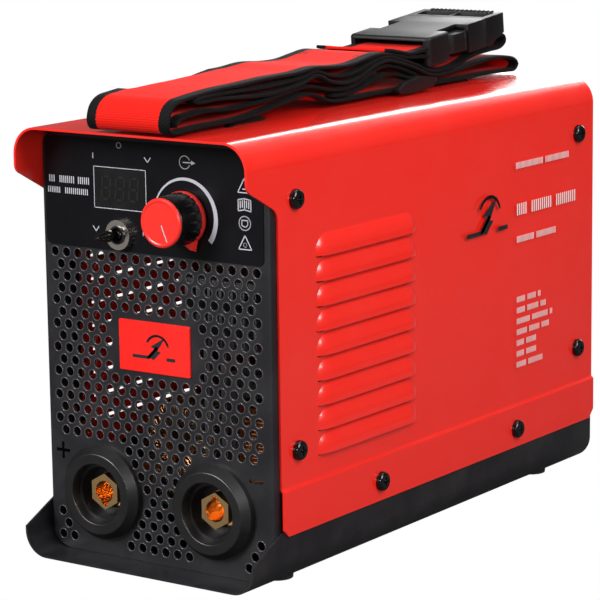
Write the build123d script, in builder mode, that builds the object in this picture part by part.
from build123d import *
# Stick welding inverter: a folded steel case with its panels, controls, sockets, strap and works.
import math
import os

os.makedirs("parts", exist_ok=True)

# ---------------------------------------------------------------- driving dimensions (mm)
# x = 0 is the middle of the width, z = 0 the floor, y = FACE the front panel's outer face.
FACE = -131.0
HALF = 61.2            # half the cover's width
TOP = 190.7            # upper face of the cover
SHEET = 1.0            # steel sheet
COVER_BEND = 12.0      # outer bend at the cover's top corners
VISOR = 16.2           # overhang of the cover's top in front of the panel
COVER_LENGTH = 281.2
COVER_BOTTOM = 24.0
STEP_Z = 43.2          # below this the cover's sides are set out by STEP
STEP = 1.2
PAN_BOTTOM = 3.0
PAN_BEND = 11.0
PAN_WALL_TOP = 41.0
REAR = FACE + 260.0    # outer face of the rear panel
FLANGE = 22.0          # depth of the panels' side flanges
PANEL_HALF = 60.1
BEND_DEPTH = 3.2         # the flanges count from this depth behind a panel's face
FOOT_X, FOOT_RADIUS = 44.0, 7.0
FOOT_YS = (FACE + 24.0, FACE + 236.0)

LOUVRE_COUNT, LOUVRE_PITCH = 9, 10.55
LOUVRE_LIP = 138.5     # lower edge of the highest louvre
LOUVRE_HEIGHT, LOUVRE_DEPTH = 9.2, 2.8
LOUVRE_START, LOUVRE_END = FACE + 30.4, FACE + 108.0

HOLE_PITCH, HOLE_ROW, HOLE_RADIUS, HOLE_TOP = 6.3, 5.23, 1.95, 135.4
SOCKET_X, SOCKET_Z = 29.8, 32.0
DISPLAY_X, DISPLAY_Z = -16.6, 165.0
TOGGLE_Z = 145.7
KNOB_X, KNOB_Z = 17.9, 155.6
BADGE_Z = 98.6
POINTER_ANGLE = -67.0  # the knob's pointer at its highest setting, measured from +X

# cover screws as (distance behind the panel face, height), the same on both sides
HIGH_SCREWS = ((16.8, 164.5), (16.8, 59.0), (250.0, 165.2), (250.0, 61.0))
LOW_SCREWS = ((76.9, 32.7), (191.5, 32.7))

FAN_Z, FAN_SIZE, FAN_DEPTH = 118.0, 92.0, 25.0
SWITCH_X, SWITCH_Z = -30.0, 36.0
GLAND_X, GLAND_Z = 32.0, 36.0
STUD_X, STUD_Z = 0.0, 26.0
BOARD_Z = 20.0         # underside of the main circuit board

STRAP_X, STRAP_WIDTH = 1.5, 42.0
SLOT_YS = (FACE + 26.0, FACE + 226.0)
SLOT_WIDTH, SLOT_LENGTH = 6.0, 44.4
BUCKLE_SLOPE = 6.0
BUCKLE_HALF = 22.5


# ---------------------------------------------------------------- helpers
def facing_front(y):
    """Plane that looks along -Y at depth y, with x to the right and y upwards."""
    return Plane(origin=(0, y, 0), x_dir=(1, 0, 0), z_dir=(0, -1, 0))


def facing_side(x, sign=1):
    """Plane on the side wall that looks outwards along X; its y is always the height."""
    return Plane(origin=(x, 0, 0), x_dir=(0, sign, 0), z_dir=(sign, 0, 0))


def axle(x, z):
    """Plane for revolving about a Y axis through (x, z): local x is the radius, local y the depth."""
    return Plane(origin=(x, 0, z), x_dir=(1, 0, 0), z_dir=(0, 0, 1))


def turned(points, x, z):
    """Revolve a closed (radius, y) outline about the Y axis through (x, z)."""
    with BuildSketch(axle(x, z)) as outline:
        with BuildLine():
            Polyline(*points, close=True)
        make_face()
    revolve(outline.sketch, axis=Axis((x, 0, z), (0, 1, 0)))


def finish_part(builder, label):
    """Label one finished piece and write its STEP file."""
    builder.part.label = label
    export_step(builder.part, f"parts/{label}.step")


# ---------------------------------------------------------------- louvre, pressed out of the side wall
def louvre_dome(height, depth, foot, apex):
    """Straight run with two rounded ends: x along the lip, y up the wall, z outwards from it."""
    straight = (LOUVRE_END - LOUVRE_START) / 2 - LOUVRE_HEIGHT
    for start, arc in ((-straight, 0), (-straight, 90), (straight, -90)):
        with BuildSketch(Plane(origin=(start, 0, 0), x_dir=(0, 1, 0), z_dir=(1, 0, 0))) as outline:
            with BuildLine():
                Line((0, foot), (0, depth))
                ThreePointArc((0, depth), (height * 0.56, depth * 0.72), (height, apex))
                Polyline((height, apex), (height, foot), (0, foot))
            make_face()
        if arc:
            revolve(outline.sketch, axis=Axis((start, 0, 0), (0, 0, 1)), revolution_arc=arc)
        else:
            extrude(outline.sketch, amount=2 * straight)


with BuildPart() as louvre:
    louvre_dome(LOUVRE_HEIGHT, LOUVRE_DEPTH, -SHEET, 0)

with BuildPart() as louvre_hollow:
    louvre_dome(LOUVRE_HEIGHT - 1.1, LOUVRE_DEPTH - 0.9, -2 * SHEET, -0.6)

# ---------------------------------------------------------------- top cover
COVER_FRONT = FACE - VISOR
COVER_REAR = COVER_FRONT + COVER_LENGTH
louvre_places = [
    ((LOUVRE_START + LOUVRE_END) / 2, LOUVRE_LIP - i * LOUVRE_PITCH) for i in range(LOUVRE_COUNT)
]
with BuildPart() as top_cover:
    with BuildSketch(facing_front(COVER_FRONT)) as cover_section:
        with BuildLine():
            Polyline(
                (0, TOP), (HALF, TOP), (HALF, STEP_Z + 1.2), (HALF + STEP, STEP_Z),
                (HALF + STEP, COVER_BOTTOM), (HALF + STEP - SHEET, COVER_BOTTOM),
                (HALF + STEP - SHEET, STEP_Z - 0.4), (HALF - SHEET, STEP_Z + 0.8),
                (HALF - SHEET, TOP - SHEET), (0, TOP - SHEET), close=True,
            )
        make_face()
        corners = cover_section.vertices().sort_by(Axis.Y)
        fillet([v for v in corners if v.X == HALF and v.Y == TOP], COVER_BEND)
        fillet([v for v in cover_section.vertices() if v.X == HALF - SHEET and v.Y == TOP - SHEET],
               COVER_BEND - SHEET)
        mirror(about=Plane.YZ)
    extrude(amount=-COVER_LENGTH)
    # the sides are cut back below the visor, and their lower corners are clipped
    with BuildSketch(facing_side(-HALF - 5, 1)):
        with BuildLine():
            Polyline(
                (COVER_FRONT - 5, 0), (COVER_FRONT - 5, 171.6), (COVER_FRONT, 171.6),
                (FACE + 4.7, 160.5), (FACE + 4.7, COVER_BOTTOM + 3), (FACE + 7.7, COVER_BOTTOM),
                (FACE + 7.7, 0), close=True,
            )
        make_face()
        with BuildLine():
            Polyline(
                (COVER_REAR + 1, COVER_BOTTOM + 4), (COVER_REAR, COVER_BOTTOM + 4),
                (COVER_REAR - 4, COVER_BOTTOM), (COVER_REAR + 1, COVER_BOTTOM - 1), close=True,
            )
        make_face()
    extrude(amount=2 * HALF + 10, mode=Mode.SUBTRACT)
    visor_corners = [
        e for e in top_cover.edges().filter_by(Axis.X)
        if abs(e.center().Y - COVER_FRONT) < 0.1 and abs(e.center().Z - 171.6) < 0.1
    ]
    fillet(visor_corners, 4.5)
    waist = [
        e for e in top_cover.edges().filter_by(Axis.X)
        if abs(e.center().Y - FACE - 4.7) < 0.1 and abs(e.center().Z - 160.5) < 0.1
    ]
    fillet(waist, 6)
    for sign in (1, -1):
        wall = facing_side(sign * HALF, sign)
        places = [(sign * y, z) for y, z in louvre_places]
        with Locations(*[wall * Location((u, v, 0)) for u, v in places]):
            add(louvre.part)
            add(louvre_hollow.part, mode=Mode.SUBTRACT)
        # the pressed slot runs a little below each louvre's lip
        with BuildSketch(wall):
            with Locations(*[(u, v - 0.35) for u, v in places]):
                Rectangle(LOUVRE_END - LOUVRE_START - 2.4, 0.7)
        extrude(amount=-3, mode=Mode.SUBTRACT)
        with BuildSketch(wall):
            with Locations(*[(sign * (FACE + d), z) for d, z in HIGH_SCREWS + LOW_SCREWS]):
                Circle(2.2)
        extrude(amount=5, both=True, mode=Mode.SUBTRACT)
    # two slots that the carrying strap is threaded through
    with BuildSketch(Plane.XY.offset(TOP)):
        with Locations(*[(STRAP_X, y) for y in SLOT_YS]):
            SlotOverall(SLOT_LENGTH, SLOT_WIDTH)
    extrude(amount=-5, mode=Mode.SUBTRACT)
finish_part(top_cover, "top_cover")

# ---------------------------------------------------------------- base pan
PAN_HALF = HALF + STEP - SHEET - 0.1
with BuildPart() as base_pan:
    with BuildSketch(facing_front(COVER_FRONT)) as pan_section:
        with BuildLine():
            Polyline(
                (0, PAN_BOTTOM), (PAN_HALF, PAN_BOTTOM), (PAN_HALF, PAN_WALL_TOP),
                (PAN_HALF - SHEET, PAN_WALL_TOP), (PAN_HALF - SHEET, PAN_BOTTOM + SHEET),
                (0, PAN_BOTTOM + SHEET), close=True,
            )
        make_face()
        low = pan_section.vertices()
        fillet([v for v in low if v.X == PAN_HALF and v.Y == PAN_BOTTOM], PAN_BEND)
        fillet([v for v in pan_section.vertices() if v.X == PAN_HALF - SHEET and v.Y == PAN_BOTTOM + SHEET],
               PAN_BEND - SHEET)
        mirror(about=Plane.YZ)
    extrude(amount=-(COVER_LENGTH - 1))
    # the side walls slope up behind the lip at the front
    with BuildSketch(facing_side(-HALF - 5, 1)):
        with BuildLine():
            Polyline(
                (COVER_FRONT - 5, 16), (COVER_FRONT, 16), (FACE + 9, 28),
                (FACE + 9, PAN_WALL_TOP + 5), (COVER_FRONT - 5, PAN_WALL_TOP + 5), close=True,
            )
        make_face()
    extrude(amount=2 * HALF + 10, mode=Mode.SUBTRACT)
    with BuildSketch(facing_side(-HALF - 5, 1)):
        with Locations(*[(FACE + d, z) for d, z in LOW_SCREWS]):
            Circle(2.05)
    extrude(amount=2 * HALF + 10, mode=Mode.SUBTRACT)
    with BuildSketch(Plane.XY):
        with Locations(*[(sx * FOOT_X, y) for sx in (1, -1) for y in FOOT_YS]):
            Circle(1.65)
        # cooling slots under the heat sinks
        with Locations((0, FACE + 130)):
            with GridLocations(10, 0, 7, 1):
                SlotOverall(60, 4, rotation=90)
    extrude(amount=10, mode=Mode.SUBTRACT)
finish_part(base_pan, "base_pan")

# ---------------------------------------------------------------- feet
with BuildPart() as rubber_feet:
    with BuildSketch(Plane.XY):
        with Locations(*[(sx * FOOT_X, y) for sx in (1, -1) for y in FOOT_YS]):
            Circle(FOOT_RADIUS)
    extrude(amount=PAN_BOTTOM, taper=-6)
    with BuildSketch(Plane.XY):
        with Locations(*[(sx * FOOT_X, y) for sx in (1, -1) for y in FOOT_YS]):
            Circle(3.4)
    extrude(amount=1.8, mode=Mode.SUBTRACT)
    with BuildSketch(Plane.XY):
        with Locations(*[(sx * FOOT_X, y) for sx in (1, -1) for y in FOOT_YS]):
            Circle(1.65)
    extrude(amount=PAN_BOTTOM, mode=Mode.SUBTRACT)
finish_part(rubber_feet, "rubber_feet")

with BuildPart() as foot_screws:
    with BuildSketch(Plane.XY.offset(0.4)):
        with Locations(*[(sx * FOOT_X, y) for sx in (1, -1) for y in FOOT_YS]):
            Circle(3.0)
    extrude(amount=1.4)
    with BuildSketch(Plane.XY.offset(0.4)):
        with Locations(*[(sx * FOOT_X, y) for sx in (1, -1) for y in FOOT_YS]):
            Circle(1.5)
    extrude(amount=8.0)
finish_part(foot_screws, "foot_screws")


# ---------------------------------------------------------------- front and rear panels
PANEL_LOW, PANEL_HIGH = 4.1, 189.5


def folded_panel(y, depth):
    """Flat sheet at y with side flanges folded back by depth (negative for a rear panel)."""
    toward = math.copysign(1, depth)
    with BuildSketch(Plane.XY.offset(PANEL_LOW)) as plan:
        with BuildLine():
            Polyline(
                (0, y), (PANEL_HALF, y), (PANEL_HALF, y + depth), (PANEL_HALF - SHEET, y + depth),
                (PANEL_HALF - SHEET, y + toward * SHEET), (0, y + toward * SHEET), close=True,
            )
        make_face()
        fillet([v for v in plan.vertices() if v.X == PANEL_HALF and v.Y == y], 2)
        fillet([v for v in plan.vertices() if v.X == PANEL_HALF - SHEET and v.Y == y + toward * SHEET], 1)
        mirror(about=Plane.YZ)
    extrude(plan.sketch, amount=PANEL_HIGH - PANEL_LOW)
    # rounded corners that follow the pan's and the cover's bends
    with BuildSketch(facing_front(y - toward * 2)) as outline:
        Rectangle(4 * HALF, 3 * TOP)
        with Locations((0, (PANEL_LOW + PANEL_HIGH) / 2)):
            RectangleRounded(2 * PANEL_HALF, PANEL_HIGH - PANEL_LOW, 11.6, mode=Mode.SUBTRACT)
    extrude(outline.sketch, amount=-toward * (FLANGE + 4), mode=Mode.SUBTRACT)
    # the flanges stop short of the bends
    with BuildSketch(facing_front(y + toward * (SHEET + 1.2))) as clearance:
        with Locations((0, PANEL_HIGH - 6), (0, PANEL_LOW + 6)):
            Rectangle(2 * HALF, 12)
    extrude(clearance.sketch, amount=-toward * (FLANGE + 4), mode=Mode.SUBTRACT)
    with BuildSketch(facing_side(-HALF - 5, 1)) as screw_holes:
        screw_y = y + toward * (16.8 if toward > 0 else REAR - FACE - 250.0)
        with Locations((screw_y, 164.8), (screw_y, 60.0)):
            SlotOverall(6.0, 4.1, rotation=90)
    extrude(screw_holes.sketch, amount=2 * HALF + 10, mode=Mode.SUBTRACT)


def finish_folded_panel(builder, y, side):
    """The perforated face with its bends is one piece, the two flat flanges behind it are another."""
    face = builder.part & Pos(0, y, TOP / 2) * Box(4 * HALF, 2 * BEND_DEPTH, 2 * TOP)
    flanges = builder.part - face
    for piece, label in ((face, f"{side}_panel"), (flanges, f"{side}_flanges")):
        piece.label = label
        export_step(piece, f"parts/{label}.step")


def perforation():
    """Hole centres of the grille: staggered rows that leave room for the badge and the sockets."""
    centres = []
    low_rows = {17: range(7, 13), 18: range(7, 12), 19: range(8, 12), 20: range(8, 11), 21: range(9, 11),
                22: range(8, 11), 23: [1, *range(8, 12), 18], 24: [1, *range(7, 12), 17],
                25: [1, 2, *range(7, 13), 17, 18]}
    for row in range(1, 26):
        count = 18 if row % 2 else 17
        columns = low_rows.get(row, range(1, count + 1))
        if 6 <= row <= 10:
            columns = [c for c in columns if c <= 5 or c >= count - 4]
        for column in columns:
            centres.append(((column - (count + 1) / 2) * HOLE_PITCH, HOLE_TOP - (row - 1) * HOLE_ROW))
    return centres


with BuildPart() as front_panel:
    folded_panel(FACE, FLANGE)
    with BuildSketch(facing_front(FACE - 1)):
        with Locations(*perforation()):
            Circle(HOLE_RADIUS)
        with Locations((DISPLAY_X, DISPLAY_Z)):
            Rectangle(24, 14)
        with Locations((KNOB_X, KNOB_Z)):
            Circle(3.55)
        with Locations((DISPLAY_X, TOGGLE_Z)):
            Circle(4.05)
        for sign in (1, -1):
            with Locations((sign * SOCKET_X, SOCKET_Z)):
                Circle(15.1)
        # plus and minus marks cut through above the sockets
        with Locations((-52.3, 47.6)):
            Rectangle(7.5, 1.5)
            Rectangle(1.5, 7.5)
        with Locations((51.6, 47.6)):
            Rectangle(7.0, 1.5)
    extrude(amount=-3, mode=Mode.SUBTRACT)
finish_folded_panel(front_panel, FACE, "front")

with BuildPart() as rear_panel:
    folded_panel(REAR, -FLANGE)
    with BuildSketch(facing_front(REAR - 2)):
        # fan grille: rings of slots broken by four spokes
        with Locations((0, FAN_Z)):
            for radius in (43, 37.5, 32, 26.5, 21, 15.5):
                Circle(radius)
                Circle(radius - 3.6, mode=Mode.SUBTRACT)
            Rectangle(4.5, 90, rotation=45, mode=Mode.SUBTRACT)
            Rectangle(4.5, 90, rotation=-45, mode=Mode.SUBTRACT)
            with GridLocations(82.5, 82.5, 2, 2):
                Circle(2.1)
        with Locations((SWITCH_X, SWITCH_Z)):
            Rectangle(27.2, 22.0)
        with Locations((GLAND_X, GLAND_Z)):
            Circle(8.1)
        with Locations((STUD_X, STUD_Z)):
            Circle(2.6)
        # exhaust slots above the fan
        with Locations((0, 176)):
            with GridLocations(9, 0, 9, 1):
                SlotOverall(14, 4, rotation=90)
    extrude(amount=-4, mode=Mode.SUBTRACT)
finish_folded_panel(rear_panel, REAR, "rear")

# ---------------------------------------------------------------- cover screws
with BuildPart() as pan_head_screw:
    # cross-recess pan head above the origin, shank below it
    with BuildSketch():
        Circle(4.2)
    extrude(amount=2.7)
    fillet(pan_head_screw.faces().sort_by(Axis.Z)[-1].edges(), 1.6)
    with BuildSketch():
        Circle(2.0)
    extrude(amount=-7)
    with BuildSketch(Plane.XY.offset(2.8)):
        Rectangle(4.2, 0.9)
        Rectangle(0.9, 4.2)
    extrude(amount=-1.7, mode=Mode.SUBTRACT)

with BuildPart() as cover_screws:
    for sign in (1, -1):
        for spots, x in ((HIGH_SCREWS, HALF), (LOW_SCREWS, HALF + STEP)):
            wall = facing_side(sign * x, sign)
            with Locations(*[wall * Location((sign * (FACE + d), z, 0)) for d, z in spots]):
                add(pan_head_screw.part)
finish_part(cover_screws, "cover_screws")

# ---------------------------------------------------------------- badge and control label
with BuildPart() as badge_plate:
    with BuildSketch(facing_front(FACE)):
        with Locations((0, BADGE_Z)):
            RectangleRounded(37.7, 22.0, 0.8)
    extrude(amount=1.0)
    chamfer(badge_plate.faces().sort_by(Axis.Y)[0].edges(), 0.3)
finish_part(badge_plate, "badge_plate")

LABEL = 0.4
with BuildPart() as control_label:
    with BuildSketch(facing_front(FACE)):
        with Locations((0, 162.0)):
            RectangleRounded(115, 47, 3)
        with Locations((DISPLAY_X, DISPLAY_Z)):
            RectangleRounded(26.8, 16.5, 0.6, mode=Mode.SUBTRACT)
        with Locations((KNOB_X, KNOB_Z)):
            Circle(5.9, mode=Mode.SUBTRACT)
        with Locations((DISPLAY_X, TOGGLE_Z)):
            Circle(4.2, mode=Mode.SUBTRACT)
    extrude(amount=LABEL)
finish_part(control_label, "control_label")

with BuildPart() as display_lens:
    with BuildSketch(facing_front(FACE)):
        with Locations((DISPLAY_X, DISPLAY_Z)):
            RectangleRounded(26.7, 16.4, 0.6)
    extrude(amount=LABEL)
finish_part(display_lens, "display_lens")

CONTROL_BOARD = FACE + 11.0
with BuildPart() as display_module:
    with BuildSketch(facing_front(CONTROL_BOARD)):
        with Locations((DISPLAY_X, DISPLAY_Z)):
            Rectangle(22.6, 12.8)
    extrude(amount=9.6)
finish_part(display_module, "display_module")

with BuildPart() as control_board:
    with BuildSketch(facing_front(CONTROL_BOARD + 1.6)):
        with Locations((0, 158.0)):
            Rectangle(94, 42)
            with GridLocations(84, 32, 2, 2):
                Circle(1.65, mode=Mode.SUBTRACT)
    extrude(amount=1.6)
finish_part(control_board, "control_board")

with BuildPart() as board_pillars:
    with BuildSketch(facing_front(FACE + SHEET)):
        with Locations((0, 158.0)):
            with GridLocations(84, 32, 2, 2):
                RegularPolygon(2.75, 6, major_radius=False)
    extrude(amount=-10.0)
    with BuildSketch(facing_front(CONTROL_BOARD)):
        with Locations((0, 158.0)):
            with GridLocations(84, 32, 2, 2):
                Circle(1.5)
    extrude(amount=-3.4)
finish_part(board_pillars, "control_board_pillars")

# ---------------------------------------------------------------- current knob and its potentiometer
SHAFT = 3.0
with BuildPart() as potentiometer:
    turned([(SHAFT + 0.05, FACE - 5), (3.45, FACE - 5), (3.45, FACE + SHEET), (8.2, FACE + SHEET),
            (8.2, FACE + 9.5), (0, FACE + 9.5), (0, FACE + 3.5), (SHAFT + 0.05, FACE + 3.5)], KNOB_X, KNOB_Z)
    with BuildSketch(facing_front(FACE + 9.5)):
        with Locations((KNOB_X, KNOB_Z - 11)):
            Rectangle(12, 6)
    extrude(amount=5)
finish_part(potentiometer, "potentiometer")

with BuildPart() as potentiometer_nut:
    with BuildSketch(facing_front(FACE)):
        with Locations((KNOB_X, KNOB_Z)):
            RegularPolygon(5.0, 6, major_radius=False)
            Circle(3.5, mode=Mode.SUBTRACT)
    extrude(amount=2.2)
finish_part(potentiometer_nut, "potentiometer_nut")

with BuildPart() as knob_shaft:
    with BuildSketch(facing_front(FACE + 3.4)):
        with Locations((KNOB_X, KNOB_Z)):
            Circle(SHAFT)
    extrude(amount=3.4 + 14.0)
finish_part(knob_shaft, "knob_shaft")

KNOB_FLUTES = 18
with BuildPart() as knob_body:
    turned([(SHAFT, FACE - 14), (0, FACE - 14), (0, FACE - 16.0), (9.9, FACE - 16.0), (10.3, FACE - 15.6),
            (11.1, FACE - 3.6), (6.6, FACE - 3.6), (6.6, FACE - 6.2), (SHAFT, FACE - 6.2)], KNOB_X, KNOB_Z)
    with BuildSketch(facing_front(FACE - 3)):
        with Locations((KNOB_X, KNOB_Z)):
            with PolarLocations(11.3, KNOB_FLUTES):
                Circle(0.7)
    extrude(amount=11.2, mode=Mode.SUBTRACT)
finish_part(knob_body, "knob_body")

with BuildPart() as knob_cap:
    turned([(0, FACE - 16.0), (9.9, FACE - 16.0), (10.25, FACE - 16.3), (10.35, FACE - 16.8),
            (10.15, FACE - 17.3), (9.6, FACE - 17.7), (9.0, FACE - 17.75), (8.5, FACE - 17.5),
            (0, FACE - 17.5)], KNOB_X, KNOB_Z)
    with BuildSketch(facing_front(FACE - 17.5)):
        with Locations(Location((KNOB_X, KNOB_Z), POINTER_ANGLE)):
            with Locations((5.1, 0)):
                Rectangle(8.6, 0.7)
    extrude(amount=-0.25, mode=Mode.SUBTRACT)
finish_part(knob_cap, "knob_cap")

with BuildPart() as knob_skirt:
    turned([(6.6, FACE - 1.4), (11.3, FACE - 1.4), (11.4, FACE - 2.6), (11.2, FACE - 3.6), (6.6, FACE - 3.6)],
           KNOB_X, KNOB_Z)
    bearing = math.radians(POINTER_ANGLE)
    pointer_plane = Plane(
        origin=(KNOB_X, FACE - 1.4, KNOB_Z), x_dir=(math.cos(bearing), 0, math.sin(bearing)), z_dir=(0, -1, 0),
    )
    with BuildSketch(pointer_plane):
        with BuildLine():
            Polyline((10.4, -3.3), (10.4, 3.3), (14.8, 0), close=True)
        make_face()
    extrude(amount=3.4, taper=12)
finish_part(knob_skirt, "knob_skirt")

# ---------------------------------------------------------------- toggle switch
PIVOT_Y = FACE - 1.0
LEAN = 12.0            # the lever leans left by this angle at rest
with BuildPart() as toggle_body:
    with BuildSketch(facing_front(FACE + SHEET)):
        with Locations((DISPLAY_X, TOGGLE_Z)):
            Rectangle(13.0, 8.0)
    extrude(amount=-9.5)
    with BuildSketch(facing_front(FACE + SHEET)):
        with Locations((DISPLAY_X, TOGGLE_Z)):
            Circle(3.95)
    extrude(amount=4.6)
    with BuildSketch(facing_front(FACE - 5)):
        with Locations((DISPLAY_X, TOGGLE_Z)):
            Circle(3.2)
    extrude(amount=-8.0, mode=Mode.SUBTRACT)
finish_part(toggle_body, "toggle_body")

with BuildPart() as toggle_nut:
    with BuildSketch(facing_front(FACE - LABEL)):
        with Locations((DISPLAY_X, TOGGLE_Z)):
            Circle(6.45)
            Circle(4.0, mode=Mode.SUBTRACT)
            with PolarLocations(6.6, 36):
                Circle(0.33, mode=Mode.SUBTRACT)
    extrude(amount=2.6)
finish_part(toggle_nut, "toggle_nut")

with BuildPart() as toggle_lever:
    lever_plane = Plane(
        origin=(DISPLAY_X, PIVOT_Y, TOGGLE_Z), x_dir=(0, 0, 1),
        z_dir=(math.cos(math.radians(LEAN)), -math.sin(math.radians(LEAN)), 0),
    )
    with BuildSketch(lever_plane) as lever_outline:
        with BuildLine():
            Line((0, -2.3), (0, 13.4))
            Polyline((0, 13.4), (0.9, 13.2), (1.35, 12.5), (1.5, 11.6), (1.75, 10.4), (2.25, 8.0), (2.5, 7.2),
                     (2.5, 5.4), (2.1, 4.6), (1.38, 1.84))
            ThreePointArc((1.38, 1.84), (2.3, 0), (0, -2.3))
        make_face()
    revolve(axis=Axis(lever_plane.origin, lever_plane.y_dir))
finish_part(toggle_lever, "toggle_lever")

# ---------------------------------------------------------------- output sockets
SOCKET_BORE = 4.75
sockets = (("left", -1, -1), ("right", 1, 1))
for side, sign, key in sockets:
    x = sign * SOCKET_X
    with BuildPart() as housing:
        turned([(20.5, FACE), (20.5, FACE - 2.4), (17.6, FACE - 5.8), (13.2, FACE - 5.8), (12.8, FACE - 1.6),
                (11.3, FACE - 1.6), (11.0, FACE + 5), (8.15, FACE + 5), (8.15, FACE + 7), (8.9, FACE + 7),
                (8.9, FACE + 13), (15.0, FACE + 13), (15.0, FACE)], x, SOCKET_Z)
        rim = housing.edges().filter_by(GeomType.CIRCLE).filter_by(
            lambda e: abs(e.radius - 13.2) < 0.01 or abs(e.radius - 17.6) < 0.01)
        fillet(rim, 0.6)
    finish_part(housing, f"socket_housing_{side}")

    with BuildPart() as contact:
        with BuildSketch(facing_front(FACE)):
            with Locations((x, SOCKET_Z)):
                RegularPolygon(6.95, 6, major_radius=False, rotation=30)
        extrude(amount=-22)
        with BuildSketch(facing_front(FACE + 22)):
            with Locations((x, SOCKET_Z)):
                Circle(4.0)
        extrude(amount=-14)
        with BuildSketch(facing_front(FACE)):
            with Locations((x, SOCKET_Z)):
                Circle(SOCKET_BORE)
            with Locations((x, SOCKET_Z + key * SOCKET_BORE)):
                Circle(1.7)
        extrude(amount=-18, mode=Mode.SUBTRACT)
        with BuildSketch(facing_front(FACE + 7.1)):
            with Locations((x, SOCKET_Z)):
                Circle(8.85)
                RegularPolygon(6.85, 6, major_radius=False, rotation=30, mode=Mode.SUBTRACT)
        extrude(amount=-10.9)
    finish_part(contact, f"socket_contact_{side}")

with BuildPart() as socket_lock_rings:
    for sign in (1, -1):
        with BuildSketch(facing_front(FACE + SHEET)):
            with Locations((sign * SOCKET_X, SOCKET_Z)):
                Circle(18.5)
                Circle(15.05, mode=Mode.SUBTRACT)
                with PolarLocations(18.9, 6):
                    Circle(1.6, mode=Mode.SUBTRACT)
        extrude(amount=-5)
finish_part(socket_lock_rings, "socket_lock_rings")

with BuildPart() as stud_nuts:
    with BuildSketch(facing_front(FACE + 25)):
        with Locations((SOCKET_X, SOCKET_Z), (-SOCKET_X, SOCKET_Z)):
            RegularPolygon(6.5, 6, major_radius=False)
            Circle(4.0, mode=Mode.SUBTRACT)
    extrude(amount=-6)
    # the nut of the earth stud on the rear panel
    with BuildSketch(facing_front(REAR)):
        with Locations((STUD_X, STUD_Z)):
            RegularPolygon(4.0, 6, major_radius=False)
            Circle(2.55, mode=Mode.SUBTRACT)
    extrude(amount=-4)
finish_part(stud_nuts, "stud_nuts")

# flat copper bars from the sockets' studs down to the main board
BOARD_TOP = BOARD_Z + 1.6
for side, sign in (("left", -1), ("right", 1)):
    with BuildPart() as bus_bar:
        with BuildSketch(facing_side(sign * SOCKET_X - 7, 1)):
            with BuildLine():
                Polyline(
                    (FACE + 22, SOCKET_Z + 7), (FACE + 25, SOCKET_Z + 7), (FACE + 25, BOARD_TOP + 3),
                    (FACE + 48, BOARD_TOP + 3), (FACE + 48, BOARD_TOP), (FACE + 22, BOARD_TOP), close=True,
                )
            make_face()
        extrude(amount=14)
        with BuildSketch(facing_front(FACE + 20)):
            with Locations((sign * SOCKET_X, SOCKET_Z)):
                Circle(4.0)
        extrude(amount=-6, mode=Mode.SUBTRACT)
    finish_part(bus_bar, f"output_bus_bar_{side}")

# ---------------------------------------------------------------- rear: fan, switch, cord inlet, earth stud
with BuildPart() as fan_frame:
    with BuildSketch(facing_front(REAR - SHEET)):
        with Locations((0, FAN_Z)):
            RectangleRounded(FAN_SIZE, FAN_SIZE, 5)
            Circle(44.5, mode=Mode.SUBTRACT)
            with GridLocations(82.5, 82.5, 2, 2):
                Circle(2.15, mode=Mode.SUBTRACT)
    extrude(amount=FAN_DEPTH)
    with BuildSketch(facing_front(REAR - SHEET - 5)):
        with Locations((0, FAN_Z)):
            Rectangle(FAN_SIZE + 1, FAN_SIZE + 1)
            Circle(46.0, mode=Mode.SUBTRACT)
    extrude(amount=FAN_DEPTH - 10, mode=Mode.SUBTRACT)
    # motor seat on three struts at the inner face
    with BuildSketch(facing_front(REAR - SHEET - FAN_DEPTH + 3)):
        with Locations((0, FAN_Z)):
            Circle(19)
            for angle in (30, 150, 270):
                with Locations(Location((0, 0), angle)):
                    with Locations((31, 0)):
                        Rectangle(28, 5)
    extrude(amount=3)
finish_part(fan_frame, "fan_frame")

FAN_BLADES = 7
HUB_FRONT = REAR - SHEET - FAN_DEPTH + 3.6
with BuildPart() as fan_rotor:
    with BuildSketch(facing_front(HUB_FRONT)):
        with Locations((0, FAN_Z)):
            Circle(18.5)
    extrude(amount=-19)
    fillet(fan_rotor.faces().sort_by(Axis.Y)[-1].edges(), 1.5)
    with BuildSketch(facing_front(HUB_FRONT)):
        with Locations((0, FAN_Z)):
            Circle(16.5)
    extrude(amount=-3, mode=Mode.SUBTRACT)
    with BuildSketch(Plane(origin=(0, 0, FAN_Z + 17), x_dir=(1, 0, 0), z_dir=(0, 0, 1))) as root:
        with Locations(Location((0, HUB_FRONT + 9.5), 42)):
            SlotOverall(22, 1.6)
    with BuildSketch(Plane(origin=(0, 0, FAN_Z + 40.5), x_dir=(1, 0, 0), z_dir=(0, 0, 1))) as tip:
        with Locations(Location((4, HUB_FRONT + 9.5), 24)):
            SlotOverall(24, 1.4)
    blade = Solid.make_loft([root.sketch.face().outer_wire(), tip.sketch.face().outer_wire()])
    for i in range(FAN_BLADES):
        add(blade.rotate(Axis((0, 0, FAN_Z), (0, 1, 0)), i * 360 / FAN_BLADES))
finish_part(fan_rotor, "fan_rotor")

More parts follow.
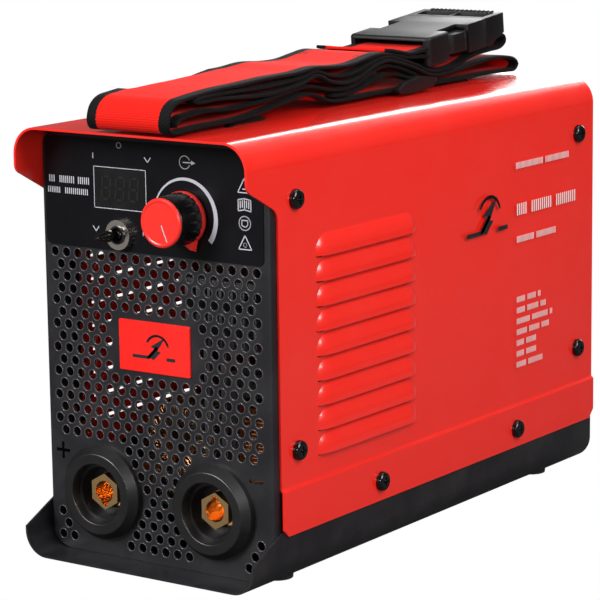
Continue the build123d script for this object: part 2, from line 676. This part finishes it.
with BuildPart() as fan_screws:
    with BuildSketch(facing_front(REAR)):
        with Locations((0, FAN_Z)):
            with GridLocations(82.5, 82.5, 2, 2):
                Circle(3.8)
    extrude(amount=-2.2)
    with BuildSketch(facing_front(REAR + 0.1)):
        with Locations((0, FAN_Z)):
            with GridLocations(82.5, 82.5, 2, 2):
                Circle(2.0)
    extrude(amount=FAN_DEPTH + 4)
    with BuildSketch(facing_front(REAR + 1)):
        with Locations((0, FAN_Z)):
            with GridLocations(82.5, 82.5, 2, 2):
                Rectangle(4, 0.9)
                Rectangle(0.9, 4)
    extrude(amount=-2, mode=Mode.SUBTRACT)
    # a nut on each screw, behind the fan's frame
    with BuildSketch(facing_front(REAR - SHEET - FAN_DEPTH)):
        with Locations((0, FAN_Z)):
            with GridLocations(82.5, 82.5, 2, 2):
                RegularPolygon(3.5, 6, major_radius=False)
    extrude(amount=2.6)
finish_part(fan_screws, "fan_screws")

ROCKER_PIVOT_Y = REAR - 0.5
with BuildPart() as power_switch_body:
    with BuildSketch(facing_front(REAR + 1.8)):
        with Locations((SWITCH_X, SWITCH_Z)):
            RectangleRounded(31, 25.5, 1.5)
    extrude(amount=1.8)
    with BuildSketch(facing_front(REAR)):
        with Locations((SWITCH_X, SWITCH_Z)):
            Rectangle(27, 21.8)
    extrude(amount=16)
    with BuildSketch(facing_front(REAR + 2)):
        with Locations((SWITCH_X, SWITCH_Z)):
            Rectangle(22, 17)
    extrude(amount=12, mode=Mode.SUBTRACT)
    with BuildSketch(facing_front(REAR - 16)):
        with Locations((SWITCH_X, SWITCH_Z)):
            with GridLocations(14, 12, 2, 2):
                Rectangle(0.8, 6.3)
    extrude(amount=9)
finish_part(power_switch_body, "power_switch_body")

ROCKER_TILT = 9.0
with BuildPart() as power_rocker:
    with BuildSketch(facing_side(SWITCH_X - 10.6, 1)) as rocker_side:
        with BuildLine():
            Polyline(
                (REAR - 5.0, SWITCH_Z - 3.5), (REAR + 3.4, SWITCH_Z - 7.6), (REAR + 2.4, SWITCH_Z),
                (REAR + 3.4, SWITCH_Z + 7.6), (REAR - 5.0, SWITCH_Z + 3.5), close=True,
            )
        make_face()
        fillet(rocker_side.vertices().group_by(Axis.X)[-1], 1.0)
    extrude(amount=21.2)
rocker = power_rocker.part.rotate(Axis((SWITCH_X, ROCKER_PIVOT_Y, SWITCH_Z), (1, 0, 0)), ROCKER_TILT)
rocker.label = "power_rocker"
export_step(rocker, "parts/power_rocker.step")

with BuildPart() as cable_gland:
    turned([(4.6, REAR - 9), (7.9, REAR - 9), (7.9, REAR), (11.0, REAR), (11.0, REAR + 4), (8.0, REAR + 4),
            (8.0, REAR + 9), (4.6, REAR + 9)], GLAND_X, GLAND_Z)
finish_part(cable_gland, "cable_gland")

with BuildPart() as gland_nut:
    with BuildSketch(facing_front(REAR + 4.2)):
        with Locations((GLAND_X, GLAND_Z)):
            RegularPolygon(10.5, 6, major_radius=False)
    extrude(amount=-8)
    with BuildSketch(facing_front(REAR + 12.2)):
        with Locations((GLAND_X, GLAND_Z)):
            Circle(10.0)
    extrude(amount=-7.3, taper=20)
    with BuildSketch(facing_front(REAR + 4)):
        with Locations((GLAND_X, GLAND_Z)):
            Circle(8.05)
    extrude(amount=-5.5, mode=Mode.SUBTRACT)
    with BuildSketch(facing_front(REAR + 4)):
        with Locations((GLAND_X, GLAND_Z)):
            Circle(4.6)
    extrude(amount=-20, mode=Mode.SUBTRACT)
finish_part(gland_nut, "gland_nut")

with BuildPart() as gland_lock_nut:
    with BuildSketch(facing_front(REAR - SHEET)):
        with Locations((GLAND_X, GLAND_Z)):
            RegularPolygon(10.5, 6, major_radius=False)
            Circle(7.95, mode=Mode.SUBTRACT)
    extrude(amount=4)
finish_part(gland_lock_nut, "gland_lock_nut")

with BuildPart() as earth_stud:
    with BuildSketch(facing_front(REAR + 9)):
        with Locations((STUD_X, STUD_Z)):
            Circle(2.5)
    extrude(amount=18)
    with BuildSketch(facing_front(REAR - SHEET)):
        with Locations((STUD_X, STUD_Z)):
            RegularPolygon(4.0, 6, major_radius=False)
    extrude(amount=3.2)
finish_part(earth_stud, "earth_stud")

# ---------------------------------------------------------------- main board and what stands on it
BOARD_START, BOARD_END, BOARD_HALF = FACE + 32.0, FACE + 226.0, 53.0
BOARD_MIDDLE = (BOARD_START + BOARD_END) / 2
with BuildPart() as main_board:
    with BuildSketch(Plane.XY.offset(BOARD_Z)):
        with Locations((0, BOARD_MIDDLE)):
            Rectangle(2 * BOARD_HALF, BOARD_END - BOARD_START)
            with GridLocations(90, 180, 2, 2):
                Circle(1.65, mode=Mode.SUBTRACT)
    extrude(amount=1.6)
finish_part(main_board, "main_board")

with BuildPart() as board_standoffs:
    with BuildSketch(Plane.XY.offset(PAN_BOTTOM + SHEET)):
        with Locations((0, BOARD_MIDDLE)):
            with GridLocations(90, 180, 2, 2):
                RegularPolygon(3.5, 6, major_radius=False)
    extrude(amount=BOARD_Z - PAN_BOTTOM - SHEET)
finish_part(board_standoffs, "board_standoffs")

with BuildPart() as board_screws:
    with BuildSketch(Plane.XY.offset(BOARD_TOP)):
        with Locations((0, BOARD_MIDDLE)):
            with GridLocations(90, 180, 2, 2):
                Circle(2.9)
    extrude(amount=2.0)
    with BuildSketch(Plane.XY.offset(BOARD_TOP)):
        with Locations((0, BOARD_MIDDLE)):
            with GridLocations(90, 180, 2, 2):
                Circle(1.5)
    extrude(amount=-1.6)
finish_part(board_screws, "board_screws")

# two finned heat sinks over the board, their fins along the air stream
SINK_START, SINK_LENGTH, SINK_HEIGHT = FACE + 96.0, 96.0, 62.0
SINK_FINS, FIN_PITCH = 6, 5.6
FRONT_SINK_START, FRONT_SINK_LENGTH = FACE + 20.0, 34.0
FRONT_SINK_X, FRONT_SINK_TOP = 25.5, 126.0
SINK_BASE_Z = BOARD_TOP + 58.0
for side, sign in (("left", -1), ("right", 1)):
    with BuildPart() as heat_sink:
        with BuildSketch(facing_front(SINK_START)):
            with Locations((sign * 30, SINK_BASE_Z + 2.5)):
                Rectangle((SINK_FINS - 1) * FIN_PITCH + 12, 5)
            with Locations((sign * 30, SINK_BASE_Z + 5 + SINK_HEIGHT / 2)):
                with GridLocations(FIN_PITCH, 0, SINK_FINS, 1):
                    Rectangle(1.6, SINK_HEIGHT)
        extrude(amount=-SINK_LENGTH)
        if side == "right":
            # the rectifier diodes' sink hangs its fins from a plate close behind the grille
            with BuildSketch(facing_front(FRONT_SINK_START)):
                with Locations((FRONT_SINK_X, FRONT_SINK_TOP - 2)):
                    Rectangle(56, 4)
                with Locations((FRONT_SINK_X, FRONT_SINK_TOP - 17)):
                    with GridLocations(6.0, 0, 9, 1):
                        Rectangle(1.4, 26.2)
            extrude(amount=-FRONT_SINK_LENGTH)
    finish_part(heat_sink, f"heat_sink_{side}")

with BuildPart() as heat_sink_posts:
    # posts that carry each heat sink's ends above the board
    with BuildSketch(Plane.XY.offset(BOARD_TOP)):
        for sign in (1, -1):
            with Locations((sign * 30, SINK_START + SINK_LENGTH / 2)):
                with GridLocations(33, SINK_LENGTH - 6, 2, 2):
                    Rectangle(4, 4)
    extrude(amount=SINK_BASE_Z - BOARD_TOP)
    with BuildSketch(Plane.XY.offset(BOARD_TOP)):
        with Locations((FRONT_SINK_X, FRONT_SINK_START + 24)):
            with GridLocations(52.8, 12, 2, 2):
                Rectangle(3.0, 3.0)
    extrude(amount=FRONT_SINK_TOP - 4 - BOARD_TOP)
finish_part(heat_sink_posts, "heat_sink_posts")

with BuildPart() as power_transistors:
    # tO-247 packages flat under the heat sinks, their leads down to the board
    with BuildSketch(Plane.XY.offset(SINK_BASE_Z)):
        for sign in (1, -1):
            with Locations((sign * 30, SINK_START + SINK_LENGTH / 2)):
                with GridLocations(0, 19, 1, 4):
                    Rectangle(20, 15.6)
    extrude(amount=-5)
    with BuildSketch(Plane.XY.offset(SINK_BASE_Z - 2.5)):
        for sign in (1, -1):
            with Locations((sign * 30 - sign * 12.5, SINK_START + SINK_LENGTH / 2)):
                with GridLocations(0, 19, 1, 4):
                    with GridLocations(0, 5.4, 1, 3):
                        Rectangle(1.2, 1.2)
    extrude(amount=-(SINK_BASE_Z - 2.5 - BOARD_TOP))
    with BuildSketch(Plane.XY.offset(SINK_BASE_Z - 2.5)):
        for sign in (1, -1):
            with Locations((sign * 30 - sign * 11.4, SINK_START + SINK_LENGTH / 2)):
                with GridLocations(0, 19, 1, 4):
                    with GridLocations(0, 5.4, 1, 3):
                        Rectangle(3.4, 1.2)
    extrude(amount=-1.2)
finish_part(power_transistors, "power_transistors")

# high-frequency transformer between the sinks' legs: ferrite core with a copper winding
CORE_Y = FACE + 66.0
with BuildPart() as transformer_core:
    with BuildSketch(facing_front(CORE_Y - 10)):
        with Locations((22, BOARD_TOP + 27.5)):
            Rectangle(56, 55)
            Rectangle(36, 36, mode=Mode.SUBTRACT)
            Rectangle(16, 38)
    extrude(amount=-20)
finish_part(transformer_core, "transformer_core")

with BuildPart() as transformer_winding:
    with BuildSketch(Plane.XY.offset(BOARD_TOP + 11)):
        with Locations((22, CORE_Y)):
            RectangleRounded(34.4, 38, 7)
            Rectangle(16.4, 20.4, mode=Mode.SUBTRACT)
    extrude(amount=33)
finish_part(transformer_winding, "transformer_winding")

with BuildPart() as choke_core:
    turned([(9, FACE + 52), (17, FACE + 52), (17, FACE + 68), (9, FACE + 68)], -30, BOARD_TOP + 20.9)
finish_part(choke_core, "choke_core")

with BuildPart() as choke_winding:
    with BuildSketch(facing_front(FACE + 60)) as turns:
        with Locations((-30, BOARD_TOP + 20.9)):
            Circle(20.8)
            Circle(5.4, mode=Mode.SUBTRACT)
            with Locations((0, -18)):
                Rectangle(5, 18, mode=Mode.SUBTRACT)
    extrude(amount=11.6, both=True)
    with BuildSketch(facing_front(FACE + 52)):
        with Locations((-30, BOARD_TOP + 20.9)):
            Circle(17)
            Circle(9, mode=Mode.SUBTRACT)
    extrude(amount=-16, mode=Mode.SUBTRACT)
finish_part(choke_winding, "choke_winding")

with BuildPart() as filter_capacitors:
    # four upright electrolytics behind the heat sinks
    with BuildSketch(Plane.XY.offset(BOARD_TOP)):
        with Locations(*[(x, FACE + 206) for x in (-34.5, -11.5, 11.5, 34.5)]):
            Circle(11)
    extrude(amount=42)
    chamfer(filter_capacitors.edges().group_by(Axis.Z)[-1], 0.8)
finish_part(filter_capacitors, "filter_capacitors")

with BuildPart() as bridge_rectifier:
    with BuildSketch(Plane.XY.offset(BOARD_TOP)):
        with Locations((0, FACE + 178)):
            RectangleRounded(20, 28, 1)
    extrude(amount=22)
finish_part(bridge_rectifier, "bridge_rectifier")

# ---------------------------------------------------------------- carrying strap and its buckle
with BuildPart() as carry_strap:
    left_edge = Plane(origin=(STRAP_X - STRAP_WIDTH / 2, 0, 0), x_dir=(0, 1, 0), z_dir=(1, 0, 0))
    with BuildSketch(left_edge) as strap_side:
        with BuildLine():
            Polyline(
                (FACE - 13, 191.0), (FACE + 258, 191.0), (FACE + 262, 195.0), (FACE + 258, 199.6),
                (FACE + 252, 200.5), (FACE + 181, 198.2), (FACE + 150, 206.0), (FACE + 70, 203.5),
                (FACE + 34, 206.5), (FACE + 6, 206.0), (FACE - 10, 203.0), (FACE - 15.8, 197.0), close=True,
            )
        make_face()
        fillet(strap_side.vertices(), 1.5)
    extrude(amount=STRAP_WIDTH)
    # the strap's lowest run dips through both slots and passes under the cover
    for y in SLOT_YS:
        with BuildSketch(Plane.XY.offset(TOP - SHEET - 2.4)):
            with Locations((STRAP_X, y)):
                Rectangle(STRAP_WIDTH, 2.0)
        extrude(amount=2.4 + SHEET + 1.5)
    with BuildSketch(Plane.XY.offset(TOP - SHEET - 2.4)):
        with Locations((STRAP_X, (SLOT_YS[0] + SLOT_YS[1]) / 2)):
            Rectangle(STRAP_WIDTH, SLOT_YS[1] - SLOT_YS[0] + 2.0)
    extrude(amount=2.0)
finish_part(carry_strap, "carry_strap")

# the buckle's own plane: local x across, local y along the strap, z up from its middle
slope = math.radians(BUCKLE_SLOPE)
BUCKLE = Plane(
    origin=(-2, FACE + 191, 208.2), x_dir=(1, 0, 0), z_dir=(0, -math.sin(slope), math.cos(slope)),
)
BUCKLE_SIDE = Plane(origin=BUCKLE.origin, x_dir=BUCKLE.y_dir, z_dir=BUCKLE.x_dir)
MOUTH = 42.0           # distance from the frame's middle to the open end of the housing


def buckle_block(width, start, stop, low, high, mode=Mode.ADD, middle=0.0):
    """Box in the buckle's plane."""
    with BuildSketch(BUCKLE.offset(low)) as block:
        with Locations((middle, (start + stop) / 2)):
            Rectangle(width, stop - start)
    extrude(block.sketch, amount=high - low, mode=mode)


with BuildPart() as buckle_socket:
    buckle_block(2 * BUCKLE_HALF, -8, MOUTH, -7.2, 7.2)
    front_corners = buckle_socket.edges().filter_by(
        lambda e: abs(e.tangent_at(0.5).dot(BUCKLE.z_dir)) > 0.99
        and abs(BUCKLE.to_local_coords(e.center()).Y + 8) < 0.1)
    fillet(front_corners, 3.0)
    # pocket for the webbing
    buckle_block(2 * BUCKLE_HALF - 7, -9, 6.5, -5.2, 5.4, Mode.SUBTRACT)
    # cavity for the prongs
    buckle_block(2 * BUCKLE_HALF - 5, 9.0, MOUTH + 1, -5.0, 5.2, Mode.SUBTRACT)
    # side windows that show the latch arms, through both faces
    for side in (1, -1):
        buckle_block(16, 9.0, 26.5, -9, 9, Mode.SUBTRACT, side * (BUCKLE_HALF + 1.0))
    # the housing's underside is stepped up behind the front frame
    buckle_block(60, 9.0, 60, -9, -6.4, Mode.SUBTRACT)
    frame_edges = buckle_socket.edges().filter_by(
        lambda e: e.length > 2 and abs(BUCKLE.to_local_coords(e.center()).Y + 8) < 0.1
        and abs(abs(BUCKLE.to_local_coords(e.center()).Z) - 7.2) < 0.1)
    fillet(frame_edges, 1.6)
finish_part(buckle_socket, "buckle_socket")

with BuildPart() as buckle_plug:
    # side view: the underside rises towards the rear
    with BuildSketch(BUCKLE_SIDE) as side_view:
        with BuildLine():
            Polyline((MOUTH + 0.3, -6.4), (MOUTH + 4, -6.4), (MOUTH + 17, -2.4), (MOUTH + 17, 7.2),
                     (MOUTH + 0.3, 7.2), close=True)
        make_face()
    extrude(side_view.sketch, amount=BUCKLE_HALF, both=True)
    buckle_block(6, 14, MOUTH + 1, -3.5, 3.5)
    # opening for the webbing, with a round bar sunk in it that the webbing goes round
    buckle_block(2 * BUCKLE_HALF - 7, MOUTH + 3.5, MOUTH + 13, -9, 9, Mode.SUBTRACT)
    with BuildSketch(BUCKLE_SIDE) as bar:
        with Locations((MOUTH + 8.2, 1.6)):
            Circle(1.7)
    extrude(bar.sketch, amount=BUCKLE_HALF - 2, both=True)
    # ribbed finger grip along the rear edge
    with BuildSketch(BUCKLE.offset(7.2)) as ribs:
        with Locations((0, MOUTH + 15.6)):
            with GridLocations(2.4, 0, 15, 1):
                Rectangle(1.2, 2.4)
    extrude(amount=0.7)
finish_part(buckle_plug, "buckle_plug")

ARM_X, ARM_Y = 14.5, MOUTH - 4.0
for side, sign in (("left", -1), ("right", 1)):
    with BuildPart() as arm:
        with BuildSketch(BUCKLE.offset(-4.4)) as arm_plan:
            with BuildLine():
                Polyline(
                    (sign * (ARM_X - 1.8), ARM_Y + 3.6), (sign * (ARM_X + 1.8), ARM_Y + 3.6),
                    (sign * (ARM_X + 2.0), 26.0), (sign * 22.0, 26.0), (sign * 23.2, 22.0),
                    (sign * 22.0, 14.0), (sign * 17.5, 9.6), (sign * 14.8, 9.6), (sign * 13.6, 24.0), close=True,
                )
            make_face()
            fillet(arm_plan.vertices().sort_by(Axis.Y)[2:7], 0.8)
        extrude(amount=9.0)
    finish_part(arm, f"buckle_arm_{side}")

with BuildPart() as strap_slider:
    # three-bar slider laid in the lower folds, seen at the strap's right edge
    right_edge = Plane(origin=(STRAP_X + STRAP_WIDTH / 2 + 0.4, 0, 0), x_dir=(0, 1, 0), z_dir=(1, 0, 0))
    with BuildSketch(right_edge) as end:
        with BuildLine():
            Polyline((FACE + 147, 193.0), (FACE + 156, 191.4), (FACE + 178, 193.0), (FACE + 181, 197.0),
                     (FACE + 168, 198.6), (FACE + 154, 196.6), close=True)
        make_face()
        fillet(end.vertices(), 0.8)
    extrude(amount=3.2)
finish_part(strap_slider, "strap_slider")
